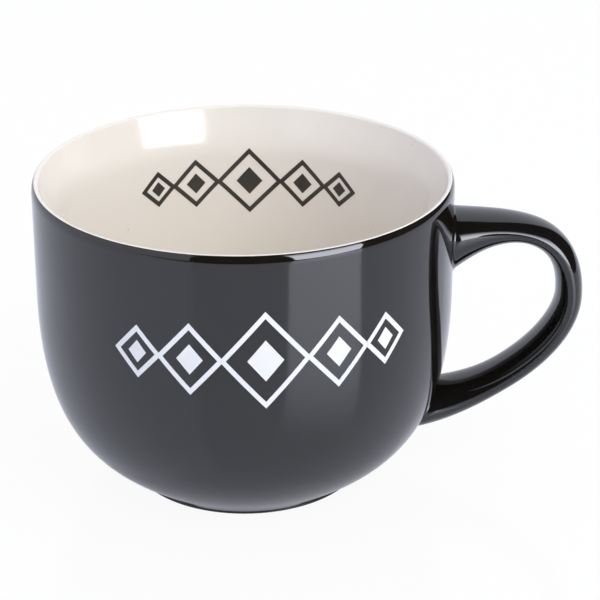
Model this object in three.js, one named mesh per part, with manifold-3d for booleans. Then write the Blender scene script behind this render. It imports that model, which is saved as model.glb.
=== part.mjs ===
// Stoneware coffee cup with a strap handle, black glaze outside and cream glaze inside.
// Millimetres, +Z up. The handle points along +X and the cup stands on Z = 0.

import * as THREE from 'three';
import { mergeVertices } from 'three/addons/utils/BufferGeometryUtils.js';
import Module from 'manifold-3d';

// Cup, measured over the glaze
const CUP_DIAMETER = 118;
const CUP_HEIGHT = 90;
const BELLY_HEIGHT = 56.5; // where the bowl becomes the upright wall
const BOWL_START_ANGLE = 42.5; // degrees above level
const BOWL_START_PULL = 12.9; // how far the bowl keeps its first direction
const BOWL_END_PULL = 43; // how far below the belly it starts to turn upright
const LIP_TAPER = 0.1; // how much smaller the lip's radius is than the belly's
const LIP_ROUND_WIDTH = 1; // outer half of the lip, from its side to its crest
const LIP_ROUND_HEIGHT = 3;
const LIP_THINNING_HEIGHT = 15; // over which the wall thins from inside, up to the crest
const LIP_THINNING_PULL = 1.5; // how far the inside stays upright at the start of that
const LIP_CREST_PULL = 0.8; // how far the crest stays level on its inner half

// Foot ring
const FOOT_DIAMETER = 66.8;
const FOOT_HEIGHT = 1.1;
const FOOT_FILLET = 0.3;
const FOOT_STEP = 0.6; // how far the bowl starts outside the foot
const FOOT_RING_WIDTH = 5;
const FOOT_RING_TAPER = 0.6; // draft of the ring's inner side
const DRY_FOOT = 0.15; // bare clay that is wiped clean above the table

// Clay and glaze
const WALL_THICKNESS = 5.4; // below the lip, both coats of glaze included
const FLOOR_THICKNESS = 5.2; // both coats of glaze included
const HOLLOW_DEPTH = 2; // of the hollow in the foot, over the glaze
const INNER_FLOOR_RADIUS = 14; // flat middle of the floor
const INNER_FLOOR_PULL = 32; // how far the inside stays level
const INNER_WALL_PULL = 33.5; // how far below the belly the inside starts to turn upright
const GLAZE = 0.5;
const SLIP = 0.8;
const SEAM = 0.15; // modelling clearance between bonded pieces

// Handle, along its middle line and without its glaze
const UPPER_ROOT_DROP = 20.5; // below the lip
const UPPER_ROOT_ANGLE = 24.4; // degrees above level
const UPPER_ROOT_PULL = 15.4;
const LOWER_ROOT_HEIGHT = 17.7;
const LOWER_ROOT_ANGLE = 8.8;
const LOWER_ROOT_PULL = 20.8;
const HANDLE_REACH = 33.9; // from the belly to the middle line at its outermost point
const HANDLE_BEND_DROP = 16.9; // of that outermost point below the upper root
const UPPER_BEND_PULL = 22.7;
const LOWER_BEND_PULL = 15.4;
const HANDLE_WIDTH = 14;
const ROOT_WIDTH = 20;
const UPPER_STRAP_THICKNESS = 5.2;
const LOWER_STRAP_THICKNESS = 7.3;
const UPPER_ROOT_THICKNESS = 16.8;
const LOWER_ROOT_THICKNESS = 14;
const UPPER_ROOT_LIFT = 2.4; // of its widest line above its middle
const UPPER_FLARE = 0.27; // share of the handle's length over which the upper root spreads
const LOWER_FLARE = 0.21;
const ROOT_DEPTH = 7; // extra length that is trimmed off against the wall

// Prints: a chain of lozenge outlines that shrink away from the middle one
const PRINT_THICKNESS = 0.12;
const PRINT_LINE = 1.3; // width of a lozenge's outline
const CHAIN_STEPS = 2; // lozenges on each side of the middle one
const CHAIN_RATIO = 0.74; // size of each lozenge to its neighbour
const OUTER_PRINT_WIDTH = 23;
const OUTER_PRINT_HEIGHT = 28;
const OUTER_PRINT_DROP = 29.5; // of its middle below the lip
const OUTER_PRINT_BEARING = -85; // degrees round from the handle
const INNER_PRINT_WIDTH = 19;
const INNER_PRINT_HEIGHT = 21;
const INNER_PRINT_DROP = 23;
const INNER_PRINT_BEARING = 88;

// How finely round shapes are divided
const CUP_SIDES = 40;
const BOWL_STEPS = 6;
const LIP_STEPS = 2;
const THINNING_STEPS = 3;
const FOOT_STEPS = 2;
const HANDLE_STEPS = 10; // along each half of the handle
const HANDLE_SIDES = 12;
const PRINT_STEP = 5; // longest straight piece of a print's line

const CUP_RADIUS = CUP_DIAMETER / 2;
const FOOT_RADIUS = FOOT_DIAMETER / 2;
const LIP_RADIUS = CUP_RADIUS - LIP_TAPER;
const CREST_RADIUS = LIP_RADIUS - LIP_ROUND_WIDTH;
const WALL_INNER_RADIUS = CUP_RADIUS - WALL_THICKNESS;
const FLOOR_HEIGHT = HOLLOW_DEPTH + FLOOR_THICKNESS;

const wasm = await Module();
wasm.setup();

const radians = THREE.MathUtils.degToRad;
const point = (x, y) => new THREE.Vector2(x, y);
const heading = (degrees) => point(Math.cos(radians(degrees)), Math.sin(radians(degrees)));

// Outlines are lists of (radius, height) points

function bezier(start, startPull, endPull, end) {
  return new THREE.CubicBezierCurve(start, start.clone().add(startPull), end.clone().add(endPull), end);
}

// Points of a curve, moved towards its right-hand side
function offsetCurve(curve, steps, distance) {
  return Array.from({ length: steps + 1 }, (_, step) => {
    const along = curve.getTangent(step / steps);
    return curve.getPoint(step / steps).add(point(along.y, -along.x).multiplyScalar(distance));
  });
}

// Quarter of an ellipse between two angles in degrees
function quarter(centreX, centreY, radiusX, radiusY, from, to, steps) {
  const arc = new THREE.EllipseCurve(
    centreX, centreY, radiusX, radiusY, radians(from), radians(to), to < from,
  );
  return arc.getPoints(steps);
}

// Outside of the cup, from the foot up to the crest of the lip, sunk below the glazed surface
function outsideOutline(sunk) {
  const foot = FOOT_RADIUS - sunk;
  const underside = FOOT_HEIGHT + sunk * Math.cos(radians(BOWL_START_ANGLE));
  const fillet = quarter(
    foot + FOOT_FILLET, underside - FOOT_FILLET, FOOT_FILLET, FOOT_FILLET, 180, 90, FOOT_STEPS,
  );
  const bowl = bezier(
    point(FOOT_RADIUS + FOOT_STEP, FOOT_HEIGHT),
    heading(BOWL_START_ANGLE).multiplyScalar(BOWL_START_PULL),
    point(0, -BOWL_END_PULL),
    point(CUP_RADIUS, BELLY_HEIGHT),
  );
  const lip = quarter(
    CREST_RADIUS, CUP_HEIGHT - LIP_ROUND_HEIGHT, LIP_ROUND_WIDTH - sunk, LIP_ROUND_HEIGHT - sunk,
    0, 90, LIP_STEPS,
  );
  return [point(foot, DRY_FOOT), ...fillet, ...offsetCurve(bowl, BOWL_STEPS, -sunk), ...lip];
}

// Inside of the cup, from the middle of the floor up to the crest of the lip, sunk below the glaze
function insideOutline(sunk) {
  const bowl = bezier(
    point(INNER_FLOOR_RADIUS, FLOOR_HEIGHT),
    point(INNER_FLOOR_PULL, 0),
    point(0, -INNER_WALL_PULL),
    point(WALL_INNER_RADIUS, BELLY_HEIGHT),
  );
  const lip = bezier(
    point(WALL_INNER_RADIUS, CUP_HEIGHT - LIP_THINNING_HEIGHT),
    point(0, LIP_THINNING_PULL),
    point(-LIP_CREST_PULL, 0),
    point(CREST_RADIUS, CUP_HEIGHT),
  );
  return [
    point(0, FLOOR_HEIGHT - sunk),
    ...offsetCurve(bowl, BOWL_STEPS, sunk),
    ...offsetCurve(lip, THINNING_STEPS, sunk).slice(0, -1),
    point(CREST_RADIUS, CUP_HEIGHT - sunk),
  ];
}

// Hollow under the floor, from the axis out to the foot ring's inner edge, sunk below the glaze
function hollowOutline(sunk) {
  const edge = FOOT_RADIUS - GLAZE - FOOT_RING_WIDTH;
  const roof = HOLLOW_DEPTH + sunk;
  return [
    point(0, roof),
    point(edge - FOOT_RING_TAPER - GLAZE + sunk, roof),
    point(edge - GLAZE + sunk, DRY_FOOT),
  ];
}

// Radius of an outline at a height
function radiusAt(outline, height) {
  const above = outline.findIndex((corner) => corner.y >= height);
  const [low, high] = [outline[above - 1], outline[above]];
  return THREE.MathUtils.mapLinear(height, low.y, high.y, low.x, high.x);
}

// Solids

function lathe(outline) {
  return new THREE.LatheGeometry(outline, CUP_SIDES).rotateX(Math.PI / 2);
}

// Skin through rings that have the same number of corners: capped at its ends, or closed on itself
function loft(rings, closed = false) {
  const sides = rings[0].length;
  const faces = [];
  rings.forEach((ring, index) => {
    if (index + 1 === rings.length && !closed) return;
    const here = index * sides;
    const there = ((index + 1) % rings.length) * sides;
    for (let side = 0; side < sides; side++) {
      const next = (side + 1) % sides;
      faces.push(here + side, here + next, there + next);
      faces.push(here + side, there + next, there + side);
    }
  });
  const last = (rings.length - 1) * sides;
  for (let side = 1; side < sides - 1 && !closed; side++) {
    faces.push(0, side + 1, side);
    faces.push(last, last + side, last + side + 1);
  }
  return new THREE.BufferGeometry().setFromPoints(rings.flat()).setIndex(faces);
}

function toSolid(geometry) {
  const bare = geometry.clone();
  bare.deleteAttribute('normal');
  bare.deleteAttribute('uv');
  const merged = mergeVertices(bare);
  return new wasm.Manifold(new wasm.Mesh({
    numProp: 3,
    vertProperties: Float32Array.from(merged.attributes.position.array),
    triVerts: Uint32Array.from(merged.index.array),
  }));
}

function toGeometry(solid) {
  const { vertProperties, triVerts } = solid.getMesh();
  const geometry = new THREE.BufferGeometry();
  geometry.setAttribute('position', new THREE.BufferAttribute(vertProperties, 3));
  geometry.setIndex(new THREE.BufferAttribute(triVerts, 1));
  geometry.computeVertexNormals();
  return geometry;
}

// Everything within the cup's outside, which trims what is joined to the wall
function cupBlank(sunk) {
  const outside = outsideOutline(sunk);
  const top = outside.at(-1);
  return toSolid(lathe([point(0, DRY_FOOT), ...outside, point(0, top.y)]));
}

// Clay

function stonewareBody() {
  const foot = [
    point(FOOT_RADIUS - GLAZE - FOOT_RING_WIDTH, 0),
    point(FOOT_RADIUS - GLAZE, 0),
  ];
  const inside = insideOutline(GLAZE).reverse().slice(1);
  return lathe([...hollowOutline(GLAZE), ...foot, ...outsideOutline(GLAZE), ...inside]);
}

// Middle line of the handle in the XZ plane: a buried end, two bends and the other buried end
function handleLine() {
  const clay = outsideOutline(GLAZE);
  const upperHeight = CUP_HEIGHT - UPPER_ROOT_DROP;
  const upper = point(radiusAt(clay, upperHeight), upperHeight);
  const lower = point(radiusAt(clay, LOWER_ROOT_HEIGHT), LOWER_ROOT_HEIGHT);
  const bend = point(CUP_RADIUS + HANDLE_REACH, upperHeight - HANDLE_BEND_DROP);
  const upperWay = heading(UPPER_ROOT_ANGLE);
  const lowerWay = heading(LOWER_ROOT_ANGLE);
  const upperPull = upperWay.clone().multiplyScalar(UPPER_ROOT_PULL);
  const lowerPull = lowerWay.clone().multiplyScalar(LOWER_ROOT_PULL);
  return [
    new THREE.LineCurve(upper.clone().addScaledVector(upperWay, -ROOT_DEPTH), upper),
    bezier(upper, upperPull, point(0, UPPER_BEND_PULL), bend),
    bezier(bend, point(0, -LOWER_BEND_PULL), lowerPull, lower),
    new THREE.LineCurve(lower, lower.clone().addScaledVector(lowerWay, -ROOT_DEPTH)),
  ];
}

// How much a root spreads: 1 at the wall, easing to 0 where its flare ends
function flare(share, length) {
  return Math.max(0, 1 - Math.max(0, share) / length) ** 2;
}

// Oval of the handle, square to its middle line, grown by an offset
function handleRing(curve, position, share, grown) {
  const { lerp } = THREE.MathUtils;
  const upper = flare(share, UPPER_FLARE);
  const lower = flare(1 - share, LOWER_FLARE);
  const strap = lerp(UPPER_STRAP_THICKNESS, LOWER_STRAP_THICKNESS, share);
  const thickness = lerp(lerp(strap, UPPER_ROOT_THICKNESS, upper), LOWER_ROOT_THICKNESS, lower);
  const width = lerp(HANDLE_WIDTH, ROOT_WIDTH, Math.max(upper, lower));
  const half = thickness / 2 + grown;
  const middle = curve.getPoint(position);
  const along = curve.getTangent(position);
  const oval = new THREE.EllipseCurve(0, 0, half, width / 2 + grown);
  return oval.getPoints(HANDLE_SIDES).slice(1).map((spot) => {
    const rise = spot.x + UPPER_ROOT_LIFT * upper * (1 - Math.abs(spot.x) / half);
    return new THREE.Vector3(middle.x - along.y * rise, -spot.y, middle.y + along.x * rise);
  });
}

// Ovals from one end of the handle to the other
function handleRings(grown) {
  const [upperEnd, upperHalf, lowerHalf, lowerEnd] = handleLine();
  const steps = Array.from({ length: HANDLE_STEPS + 1 }, (_, step) => step / HANDLE_STEPS);
  return [
    handleRing(upperEnd, 0, 0, grown),
    ...steps.map((step) => handleRing(upperHalf, step, step / 2, grown)),
    ...steps.slice(1).map((step) => handleRing(lowerHalf, step, (1 + step) / 2, grown)),
    handleRing(lowerEnd, 1, 1, grown),
  ];
}

const wholeHandle = (grown) => toSolid(loft(handleRings(grown)));
const upperRoot = (grown) => toSolid(loft(handleRings(grown).slice(0, HANDLE_STEPS)));
const lowerRoot = (grown) => toSolid(loft(handleRings(grown).slice(-HANDLE_STEPS)));

function stonewareHandle() {
  return toGeometry(wholeHandle(0).subtract(cupBlank(GLAZE - SEAM - SLIP - SEAM)));
}

// Slip between a root of the handle and the clay wall
function slipJoint(root) {
  const layer = cupBlank(GLAZE - SEAM - SLIP).subtract(cupBlank(GLAZE - SEAM));
  return toGeometry(root.intersect(layer));
}

// Glaze

function linerGlaze() {
  return lathe([...insideOutline(GLAZE), ...insideOutline(0).reverse()]);
}

function outerGlaze() {
  const front = outsideOutline(0);
  const coat = toSolid(lathe([...front, ...outsideOutline(GLAZE).reverse(), front[0]]));
  return toGeometry(coat.subtract(upperRoot(SEAM)).subtract(lowerRoot(SEAM)));
}

function baseGlaze() {
  return lathe([...hollowOutline(0), ...hollowOutline(GLAZE).reverse()]);
}

function handleGlaze() {
  const sleeve = wholeHandle(SEAM + GLAZE).subtract(wholeHandle(SEAM));
  return toGeometry(sleeve.subtract(cupBlank(-SEAM)));
}

// Prints are drawn flat, as (arc, rise) from their middle, and wrapped onto the wall

// Closed line round a lozenge
function lozenge(wrap, centre, width, height) {
  const outer = point(width / 2, height / 2);
  const edge = outer.length();
  const inner = point(outer.x - (PRINT_LINE * edge) / outer.y, outer.y - (PRINT_LINE * edge) / outer.x);
  const corners = [point(1, 0), point(0, -1), point(-1, 0), point(0, 1)];
  const steps = Math.ceil(edge / PRINT_STEP);
  const rings = corners.flatMap((corner, index) => (
    Array.from({ length: steps }, (_, step) => {
      const way = corner.clone().lerp(corners[(index + 1) % corners.length], step / steps);
      const low = way.clone().multiply(inner).add(centre);
      const high = way.clone().multiply(outer).add(centre);
      return [wrap(low, 0), wrap(high, 0), wrap(high, PRINT_THICKNESS), wrap(low, PRINT_THICKNESS)];
    })
  ));
  return toSolid(loft(rings, true));
}

// Lozenges in a row, which share their side tips
function chainOfLozenges(wrap, width, height) {
  const link = (arc, size) => lozenge(wrap, point(arc, 0), size * width + PRINT_LINE, size * height);
  let chain = link(0, 1);
  let arc = 0;
  for (let step = 1; step <= CHAIN_STEPS; step++) {
    const size = CHAIN_RATIO ** step;
    arc += (width * (size / CHAIN_RATIO + size)) / 2;
    chain = chain.add(link(arc, size)).add(link(-arc, size));
  }
  return toGeometry(chain);
}

// Place on a wall for a flat spot, raised from the wall towards the viewer
function wallWrap(outline, bearing, height, lift) {
  const turn = radiusAt(outline, height);
  return (spot, raised) => {
    const rise = height + spot.y;
    const radius = radiusAt(outline, rise) + lift(raised);
    const angle = radians(bearing) + spot.x / turn;
    return new THREE.Vector3(radius * Math.cos(angle), radius * Math.sin(angle), rise);
  };
}

function outerPrint() {
  const wrap = wallWrap(
    outsideOutline(0), OUTER_PRINT_BEARING, CUP_HEIGHT - OUTER_PRINT_DROP, (raised) => SEAM + raised,
  );
  return chainOfLozenges(wrap, OUTER_PRINT_WIDTH, OUTER_PRINT_HEIGHT);
}

function innerPrint() {
  const sideDip = WALL_INNER_RADIUS * (1 - Math.cos(Math.PI / CUP_SIDES));
  const wrap = wallWrap(
    insideOutline(0), INNER_PRINT_BEARING, CUP_HEIGHT - INNER_PRINT_DROP,
    (raised) => raised - PRINT_THICKNESS - SEAM - sideDip,
  );
  return chainOfLozenges(wrap, INNER_PRINT_WIDTH, INNER_PRINT_HEIGHT);
}

// Assembly

const finish = (color, roughness) => new THREE.MeshStandardMaterial({ color, roughness, metalness: 0 });
const bisque = finish(0xd9cfbf, 0.85);
const driedSlip = finish(0xcfc3b0, 0.9);
const blackGlaze = finish(0x121214, 0.08);
const creamGlaze = finish(0xece4d6, 0.12);
const whiteEnamel = finish(0xf1f1f3, 0.3);
const darkEnamel = finish(0x2b2826, 0.3);

const pieces = [
  ['stoneware_body', stonewareBody(), bisque],
  ['handle', stonewareHandle(), bisque],
  ['upper_slip_joint', slipJoint(upperRoot(0)), driedSlip],
  ['lower_slip_joint', slipJoint(lowerRoot(0)), driedSlip],
  ['liner_glaze', linerGlaze(), creamGlaze],
  ['outer_glaze', outerGlaze(), blackGlaze],
  ['handle_glaze', handleGlaze(), blackGlaze],
  ['base_glaze', baseGlaze(), blackGlaze],
  ['outer_print', outerPrint(), whiteEnamel],
  ['inner_print', innerPrint(), darkEnamel],
];

const cup = new THREE.Group();
for (const [name, geometry, material] of pieces) {
  const piece = new THREE.Mesh(geometry, material);
  piece.name = name;
  cup.add(piece);
}

// The origin is on the table, at the middle of the cup's length over the handle
const extent = new THREE.Box3().setFromObject(cup);
cup.position.x = -(extent.min.x + extent.max.x) / 2;

export default cup;
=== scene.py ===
import math
from collections import namedtuple

import bpy
from bpy.props import FloatProperty, FloatVectorProperty, IntProperty, PointerProperty
from mathutils import Matrix, Vector


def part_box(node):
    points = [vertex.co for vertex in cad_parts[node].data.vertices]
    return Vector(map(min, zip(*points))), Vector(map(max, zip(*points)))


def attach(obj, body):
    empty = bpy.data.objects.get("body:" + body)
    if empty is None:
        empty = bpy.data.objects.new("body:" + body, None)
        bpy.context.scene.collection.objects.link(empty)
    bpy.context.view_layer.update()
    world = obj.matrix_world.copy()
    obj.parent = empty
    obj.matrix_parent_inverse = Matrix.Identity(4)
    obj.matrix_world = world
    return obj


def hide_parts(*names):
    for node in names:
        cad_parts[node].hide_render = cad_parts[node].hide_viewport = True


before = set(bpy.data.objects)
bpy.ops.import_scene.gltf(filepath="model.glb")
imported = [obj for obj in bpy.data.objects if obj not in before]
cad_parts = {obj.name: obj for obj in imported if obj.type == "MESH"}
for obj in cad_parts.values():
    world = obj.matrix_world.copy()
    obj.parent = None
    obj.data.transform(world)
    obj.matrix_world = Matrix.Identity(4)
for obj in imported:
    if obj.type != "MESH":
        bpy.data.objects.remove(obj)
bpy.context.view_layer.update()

bl_info = {
    "name": "Coffee Cup",
    "version": (1, 0, 0),
    "blender": (4, 5, 0),
    "location": "View3D > Sidebar > Coffee Cup",
    "description": "Models a glazed stoneware coffee cup around its packed solids",
    "category": "Add Mesh",
}

CUP_LOW, CUP_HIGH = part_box("outer_glaze")
AXIS = Vector(((CUP_LOW.x + CUP_HIGH.x) / 2, 0.0, 0.0))
BODY = "root"

# How finely round shapes are divided
CUP_SIDES = 192
BOWL_STEPS = 40
LIP_STEPS = 12
CREST_STEPS = 6
THINNING_STEPS = 24
FILLET_STEPS = 8
HANDLE_SIDES = 64
HANDLE_STEPS = 32
ROOT_CLEAR_STEPS = 1  # steps left out beside a root, to make room for its fillet
FILLET_SEGMENTS = 10
PRINT_CUTS = 7
BACKDROP_SIDES = 96
COVE_STEPS = 12
SMOOTH_ANGLE = math.radians(38)
MERGE_DISTANCE = 1e-6
ANGLE_SLACK = 1e-6

# Numbers of a Mix node's sockets for colours
MIX_LOW = 6
MIX_HIGH = 7
MIX_RESULT = 2

TONE_ENDS = (0.3, 0.7)  # most of the slow noise lies between these
OVERHEAD_ENDS = (0.6, 0.95)  # height of a direction, from level at 0 to upright at 1
STAGE_ROUGHNESS = 0.12
BACKDROP_INDEX = 1.5
SENSOR_WIDTH = 36.0
CLIP_START = 0.01
WHITE = (1, 1, 1, 1)

Ring = namedtuple("Ring", "middle facing half_thickness half_width lift")


# Properties

def property_maker(kind, **settings):
    """A function that makes properties of one kind from a name, a description and a default."""
    def make(name, description, default):
        return kind(name=name, description=description, default=default, **settings)
    return make


length = property_maker(FloatProperty, min=0.0, subtype="DISTANCE", unit="LENGTH", precision=5)
rotation = property_maker(FloatProperty, subtype="ANGLE", unit="ROTATION")
share = property_maker(FloatProperty, min=0.0, max=1.0, subtype="FACTOR")
power = property_maker(FloatProperty, min=0.0, unit="POWER")
refraction = property_maker(FloatProperty, min=1.0)
focal_length = property_maker(FloatProperty, min=1.0, subtype="DISTANCE_CAMERA")
whole_number = property_maker(IntProperty, min=0)
colour = property_maker(FloatVectorProperty, min=0.0, max=1.0, size=4, subtype="COLOR")


def angle(name, description, degrees):
    return rotation(name, description, math.radians(degrees))


class CupSizes(bpy.types.PropertyGroup):
    """Sizes of the cup, measured over the glaze"""
    diameter: length("Diameter", "Widest part of the cup", CUP_HIGH.x - CUP_LOW.x)
    height: length("Height", "Table to the crest of the lip", CUP_HIGH.z)
    belly_height: length("Belly height", "Where the bowl becomes the upright wall", 0.0565)
    bowl_start_angle: angle("Bowl start angle", "Slope of the bowl beside the foot", 42.5)
    bowl_start_pull: length("Bowl start pull", "How far the bowl keeps its first direction", 0.0129)
    bowl_end_pull: length("Bowl end pull", "How far below the belly it turns upright", 0.043)
    lip_taper: length("Lip taper", "Radius of the belly less that of the lip", 0.0001)
    lip_round_width: length("Lip round width", "Lip's side to its crest", 0.001)
    lip_round_height: length("Lip round height", "Height of the lip's outer half", 0.003)
    lip_crest_round: length("Lip crest round", "Rounding of the lip's inner half", 0.001)
    lip_thinning: length("Lip thinning", "Height below the crest over which the wall thins", 0.015)
    lip_thinning_pull: length("Lip thinning pull", "How far the thinning starts upright", 0.005)
    glaze_line: angle("Glaze line", "Where cream meets black on the lip's outer half", 74)
    foot_diameter: length("Foot diameter", "Outside of the foot ring", 0.0668)
    foot_height: length("Foot height", "Table to the underside of the bowl", 0.0011)
    foot_fillet: length("Foot fillet", "Rounding between the foot and the bowl", 0.0003)
    foot_step: length("Foot step", "How far the bowl starts outside the foot", 0.0006)
    foot_ring_width: length("Foot ring width", "Bare ring that stands on the table", 0.005)
    foot_ring_taper: length("Foot ring taper", "Draft of the ring's inner side", 0.0006)
    foot_edge: length("Foot edge", "Rounding of the bare ring's edges", 0.0003)
    dry_foot: length("Dry foot", "Bare clay wiped clean above the table", CUP_LOW.z)
    wall: length("Wall", "Wall below the lip, with both coats", 0.0054)
    floor: length("Floor", "Floor, with both coats", 0.0052)
    hollow_depth: length("Hollow depth", "Hollow inside the foot ring", 0.002)
    inner_floor_radius: length("Inner floor radius", "Flat middle of the floor", 0.014)
    inner_floor_pull: length("Inner floor pull", "How far the inside stays level", 0.032)
    inner_wall_pull: length("Inner wall pull", "How far below the belly it turns upright inside", 0.0335)
    glaze: length("Glaze", "Thickness of a coat of glaze", 0.0005)


class HandleSizes(bpy.types.PropertyGroup):
    """Sizes of the handle along its middle line, without its glaze"""
    upper_root_drop: length("Upper root drop", "Upper root below the lip", 0.0205)
    upper_root_angle: angle("Upper root angle", "Slope of the upper root above level", 24.4)
    upper_root_pull: length("Upper root pull", "How far the upper root keeps its slope", 0.0154)
    lower_root_height: length("Lower root height", "Lower root above the table", 0.0177)
    lower_root_angle: angle("Lower root angle", "Slope of the lower root above level", 8.8)
    lower_root_pull: length("Lower root pull", "How far the lower root keeps its slope", 0.0208)
    reach: length("Reach", "Belly to the outermost point of the middle line", 0.0339)
    bend_drop: length("Bend drop", "Outermost point below the upper root", 0.0169)
    upper_bend_pull: length("Upper bend pull", "How far the bend stays upright above", 0.0227)
    lower_bend_pull: length("Lower bend pull", "How far the bend stays upright below", 0.0154)
    width: length("Width", "Width of the strap", 0.014)
    root_width: length("Root width", "Width of the strap at the wall", 0.02)
    upper_strap: length("Upper strap", "Thickness of the strap at the top", 0.0052)
    lower_strap: length("Lower strap", "Thickness of the strap at the bottom", 0.0073)
    upper_root: length("Upper root", "Thickness of the upper root at the wall", 0.0168)
    lower_root: length("Lower root", "Thickness of the lower root at the wall", 0.014)
    upper_root_lift: length("Upper root lift", "Its widest line above its middle", 0.0024)
    upper_flare: share("Upper flare", "Share of the handle over which the upper root spreads", 0.27)
    lower_flare: share("Lower flare", "Share of the handle over which the lower root spreads", 0.21)
    coat: length("Coat", "Outside of the glaze over the clay", 0.00065)
    slip: length("Slip", "Slip between the roots and the wall's glaze", 0.0006)
    slip_bed: length("Slip bed", "Clearance between the slip and the wall's glaze", 0.00005)
    fillet: length("Fillet", "Glaze that fills the corner between root and wall", 0.0009)
    skirt: length("Skirt", "Thin edge of that fillet on the wall", 0.0018)
    skirt_sink: length("Skirt sink", "How far the thin edge melts into the wall's coat", 0.00006)
    root_sink: length("Root sink", "How far the coat's hidden ends reach into the wall", 0.0012)


class PrintSizes(bpy.types.PropertyGroup):
    """Sizes of the prints, which are chains of lozenges"""
    line: length("Line", "Width of a lozenge's outline", 0.0013)
    film: length("Film", "Thickness of the fired enamel", 0.00006)
    bed: length("Bed", "Clearance between the enamel and the glaze", 0.00002)
    steps: whole_number("Steps", "Lozenges on each side of the middle one", 2)
    ratio: share("Ratio", "Size of each lozenge to its neighbour", 0.74)
    core: share("Core", "Size of the solid lozenge to the outline around it", 0.42)
    outer_width: length("Outer width", "Middle lozenge outside", 0.023)
    outer_height: length("Outer height", "Middle lozenge outside", 0.028)
    outer_drop: length("Outer drop", "Outer print below the lip", 0.0295)
    outer_bearing: angle("Outer bearing", "Outer print round from the handle", -85)
    inner_width: length("Inner width", "Middle lozenge inside", 0.019)
    inner_height: length("Inner height", "Middle lozenge inside", 0.021)
    inner_drop: length("Inner drop", "Inner print below the lip", 0.023)
    inner_bearing: angle("Inner bearing", "Inner print round from the handle", 88)


class FinishColours(bpy.types.PropertyGroup):
    """Colours of the clay, glazes and enamels"""
    black_glaze: colour("Black glaze", "Glaze outside", (0.0062, 0.0053, 0.0046, 1))
    thin_black: colour("Thin black", "Black glaze where it runs thin", (0.012, 0.0085, 0.006, 1))
    cream_glaze: colour("Cream glaze", "Glaze inside", (0.82, 0.783, 0.738, 1))
    # Warmer, darker cream towards the floor: partly glaze pooling there, partly painted shade deep
    # inside the cup
    cream_pool_and_shade: colour("Cream pool and shade", "Cream where it pools towards the floor", (0.82, 0.762, 0.668, 1))
    cream_speck: colour("Cream speck", "Iron specks in the cream glaze", (0.50, 0.40, 0.29, 1))
    bisque: colour("Bisque", "Bare fired clay", (0.62, 0.52, 0.41, 1))
    bisque_grain: colour("Bisque grain", "Sand in the bare clay", (0.44, 0.34, 0.25, 1))
    slip: colour("Slip", "Fired slip", (0.55, 0.46, 0.36, 1))
    slip_grain: colour("Slip grain", "Sand in the slip", (0.43, 0.34, 0.26, 1))
    white_enamel: colour("White enamel", "Print outside", (0.80, 0.81, 0.84, 1))
    thin_white: colour("Thin white", "White enamel where it is thin", (0.66, 0.67, 0.70, 1))
    dark_enamel: colour("Dark enamel", "Print inside", (0.030, 0.026, 0.022, 1))
    thin_dark: colour("Thin dark", "Dark enamel where it is thin", (0.075, 0.062, 0.050, 1))


class StageSettings(bpy.types.PropertyGroup):
    """Floor, backdrop, light and camera"""
    floor_front: length("Floor front", "Cup's axis to the front edge of the pale floor", 0.5)
    floor_right: length("Floor right", "Cup to the right edge of the floor", 0.5)
    floor_reach: length("Floor reach", "Cup to the floor's other edges", 4.0)
    floor_white: share("Floor white", "Share of plain white that the camera sees on the floor", 0.93)
    floor_gloss: share("Floor gloss", "Share of plain white that gloss sees on the floor", 0.4)
    floor_index: refraction("Floor index", "Refraction of the floor's polish", 2.4)
    backdrop_radius: length("Backdrop radius", "Cup to the backdrop", 1.5)
    backdrop_height: length("Backdrop height", "Top of the backdrop", 3.6)
    backdrop_cove: length("Backdrop cove", "Rounding from the floor to the backdrop", 0.5)
    backdrop_start: angle("Backdrop start", "Its right end, to the right of the camera", 140)
    backdrop_sweep: angle("Backdrop sweep", "How far it goes round behind the cup to the left", 192)
    softbox_bearing: angle("Softbox bearing", "Softbox to the right of the camera", 43)
    softbox_height: angle("Softbox height", "Softbox above level", 20)
    softbox_distance: length("Softbox distance", "Cup to the softbox", 1.4)
    softbox_width: length("Softbox width", "Width of the softbox", 0.985)
    softbox_length: length("Softbox length", "Height of the softbox", 1.31)
    softbox_power: power("Softbox power", "Power of the softbox", 37.0)
    softbox_tint: colour("Softbox tint", "Colour of the softbox", (0.90, 0.92, 1.0, 1))
    softbox_full: share("Softbox full", "Share of its height at full strength", 0.35)
    softbox_dark: share("Softbox dark", "Where on its height it has faded out", 1.0)
    key_bearing: angle("Key bearing", "Key light to the right of the camera", 40)
    key_height: angle("Key height", "Key light above level", 41)
    key_distance: length("Key distance", "Cup to the key light", 1.3)
    key_size: length("Key size", "Width and height of the key light", 0.9)
    key_power: power("Key power", "Power of the key light", 7.6)
    stage_tint: colour("Stage tint", "Floor and backdrop in reflections", (0.88, 0.90, 1.0, 1))
    room: share("Room", "What gloss sees of the dark room", 0.02)
    fill: share("Fill", "Soft light from all round", 1.0)
    overhead: share("Overhead", "Share of that light that is left overhead", 0.85)
    lens: focal_length("Lens", "Focal length", 125.87)
    camera_bearing: angle("Camera bearing", "Camera round the cup", 0)
    camera_aim: length("Camera aim", "Point on the cup's axis at which the camera aims", 0.046)
    camera_height: angle("Camera height", "Camera above level", 24.957)
    camera_distance: length("Camera distance", "Camera to the point at which it aims", 0.603125)
    camera_yaw: angle("Camera yaw", "Camera turned about its up axis", 1.498)
    camera_pitch: angle("Camera pitch", "Camera turned about its right axis", 0.424)
    camera_roll: angle("Camera roll", "Camera turned about its viewing axis", -0.844)


# Outlines are lists of (radius, height) points

def heading(direction):
    return Vector((math.cos(direction), math.sin(direction)))


def bezier(start, start_pull, end_pull, end):
    return start, start + start_pull, end + end_pull, end


def bezier_point(curve, at):
    a, b, c, d = curve
    left = 1 - at
    return a * left ** 3 + b * (3 * left ** 2 * at) + c * (3 * left * at ** 2) + d * at ** 3


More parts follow.
